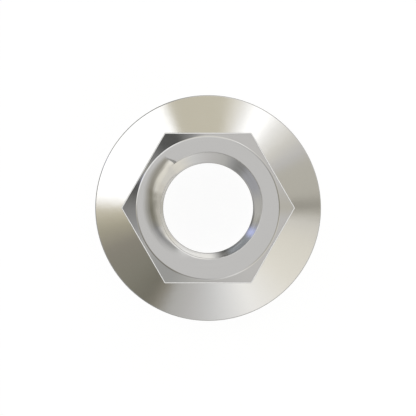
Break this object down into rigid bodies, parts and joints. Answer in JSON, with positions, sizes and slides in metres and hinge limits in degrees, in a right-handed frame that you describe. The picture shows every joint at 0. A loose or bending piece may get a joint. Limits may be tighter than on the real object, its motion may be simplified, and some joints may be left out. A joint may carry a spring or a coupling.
{
  "type": "hex flange nut",
  "caption": "Hexagon nut with a sloping round flange that spreads the clamp load, for a coarse metric thread.",
  "frame": {"origin": "centre of the bearing face under the flange, on the bore's axis", "axes": "+Z along the bore's axis, from the bearing face to the hexagon's top; +X through a corner of the hexagon"},
  "size_m": [0.021, 0.021, 0.01],
  "materials": {
    "plated_steel": "satin"
  },
  "bodies": {
    "root": {"flange_nut": "plated_steel"}
  },
  "joints": []
}
